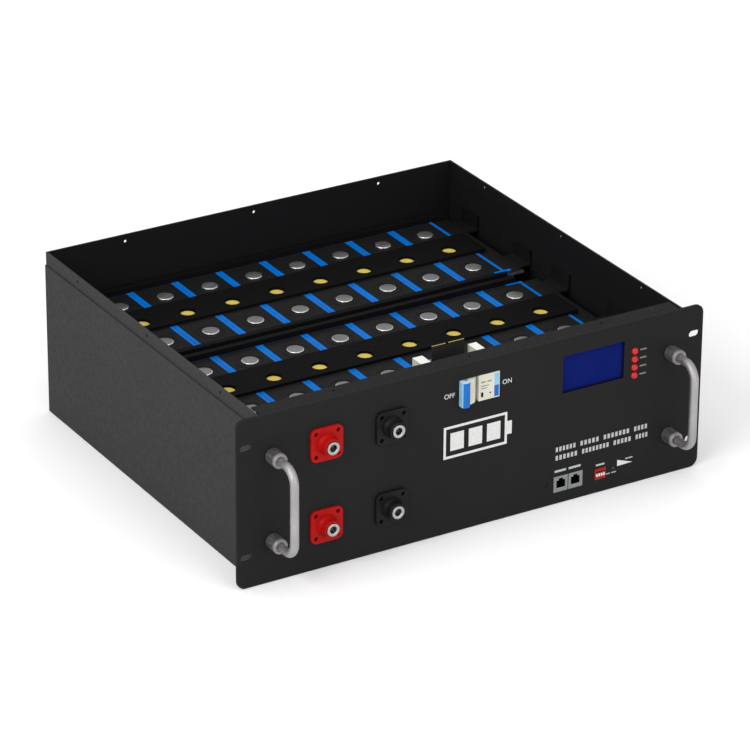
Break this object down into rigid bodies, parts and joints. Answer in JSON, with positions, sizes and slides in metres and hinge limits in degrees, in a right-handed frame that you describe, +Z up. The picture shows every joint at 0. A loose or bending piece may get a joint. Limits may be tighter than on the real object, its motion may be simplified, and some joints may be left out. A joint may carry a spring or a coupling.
{
  "type": "rack battery pack",
  "caption": "Open-topped steel case with a rack-width front panel, handles and power terminals, holding two rows of prismatic cells, a breaker and battery electronics.",
  "frame": {"origin": "middle of the footprint, between the fronts of the handles and the back of the case, on the surface it stands on", "axes": "+X to the right seen from the front, +Y to the back, +Z up; the front panel faces -Y"},
  "size_m": [0.4826, 0.4416, 0.1628],
  "materials": {
    "case_paint": "black powder coat, fine orange peel",
    "panel_paint": "black powder coat, fine texture",
    "handle_metal": "satin anodised bar",
    "ferrule_metal": "satin turned collar",
    "terminal_red": "moulded red",
    "terminal_black": "moulded black",
    "contact_metal": "plated turned insert",
    "breaker_ivory": "moulded ivory",
    "breaker_blue": "moulded blue lever",
    "yellow_zinc": "dark steel strip with a bare yellow top edge",
    "screen": "unlit blue display",
    "lamp_red": "red diffusing lens",
    "lamp_dark": "dark red lens",
    "jack_grey": "grey moulded jack",
    "switch_red": "moulded red",
    "slider_white": "white moulded",
    "button_black": "black moulded",
    "circuit_board": "solder mask over laminate",
    "bare_aluminium": "bead-blasted extrusion",
    "cell_film": "aluminium can wrapped in blue film, black top insulation, bright studs",
    "carrier_black": "black sheet",
    "insulation_black": "black laminate board",
    "plate_aluminium": "black coated plate with bare edges"
  },
  "bodies": {
    "pack": {"address_switch_body": "switch_red", "breaker_body": "breaker_ivory", "breaker_rail": "yellow_zinc", "case_shell": "case_paint", "cell_back_1": "cell_film", "cell_back_2": "cell_film", "cell_back_3": "cell_film", "cell_back_4": "cell_film", "cell_back_5": "cell_film", "cell_back_6": "cell_film", "cell_back_7": "cell_film", "cell_back_8": "cell_film", "cell_front_1": "cell_film", "cell_front_2": "cell_film", "cell_front_3": "cell_film", "cell_front_4": "cell_film", "cell_front_5": "cell_film", "cell_front_6": "cell_film", "cell_front_7": "cell_film", "cell_front_8": "cell_film", "control_board": "circuit_board", "display_screen": "screen", "end_plate_back_left": "plate_aluminium", "end_plate_back_right": "plate_aluminium", "end_plate_front_left": "plate_aluminium", "end_plate_front_right": "plate_aluminium", "front_panel": "panel_paint", "handle_ferrule_left_lower": "ferrule_metal", "handle_ferrule_left_upper": "ferrule_metal", "handle_ferrule_right_lower": "ferrule_metal", "handle_ferrule_right_upper": "ferrule_metal", "handle_grip_left": "handle_metal", "handle_grip_right": "handle_metal", "insulation_board_back_row_back": "insulation_black", "insulation_board_back_row_front": "insulation_black", "insulation_board_front_row_back": "insulation_black", "insulation_board_front_row_front": "insulation_black", "management_unit": "bare_aluminium", "network_jack": "jack_grey", "run_lamp": "lamp_dark", "status_lamp_1": "lamp_red", "status_lamp_2": "lamp_red", "status_lamp_3": "lamp_red", "status_lamp_4": "lamp_red", "terminal_contact_negative_lower": "contact_metal", "terminal_contact_negative_upper": "contact_metal", "terminal_contact_positive_lower": "contact_metal", "terminal_contact_positive_upper": "contact_metal", "terminal_housing_negative_lower": "terminal_black", "terminal_housing_negative_upper": "terminal_black", "terminal_housing_positive_lower": "terminal_red", "terminal_housing_positive_upper": "terminal_red", "vent_carrier_back": "carrier_black", "vent_carrier_front": "carrier_black"},
    "toggle": {"breaker_toggle": "breaker_blue"},
    "reset": {"reset_button": "button_black"},
    "slider_1": {"address_slider_1": "slider_white"},
    "slider_2": {"address_slider_2": "slider_white"},
    "slider_3": {"address_slider_3": "slider_white"},
    "slider_4": {"address_slider_4": "slider_white"}
  },
  "joints": [
    {"name": "toggle_swing", "type": "hinge", "parent": "pack", "child": "toggle", "pos_m": [-0.008, -0.1708, 0.1355], "axis": [0, 0, 1], "range_deg": [0, 45]},
    {"name": "reset_press", "type": "slide", "parent": "pack", "child": "reset", "axis": [0, 1, 0], "range_m": [0, 0.001], "stiffness_N_per_m": 120},
    {"name": "slider_1_travel", "type": "slide", "parent": "pack", "child": "slider_1", "axis": [0, 0, 1], "range_m": [0, 0.0023]},
    {"name": "slider_2_travel", "type": "slide", "parent": "pack", "child": "slider_2", "axis": [0, 0, 1], "range_m": [0, 0.0023]},
    {"name": "slider_3_travel", "type": "slide", "parent": "pack", "child": "slider_3", "axis": [0, 0, 1], "range_m": [0, 0.0023]},
    {"name": "slider_4_travel", "type": "slide", "parent": "pack", "child": "slider_4", "axis": [0, 0, 1], "range_m": [0, 0.0023]}
  ]
}
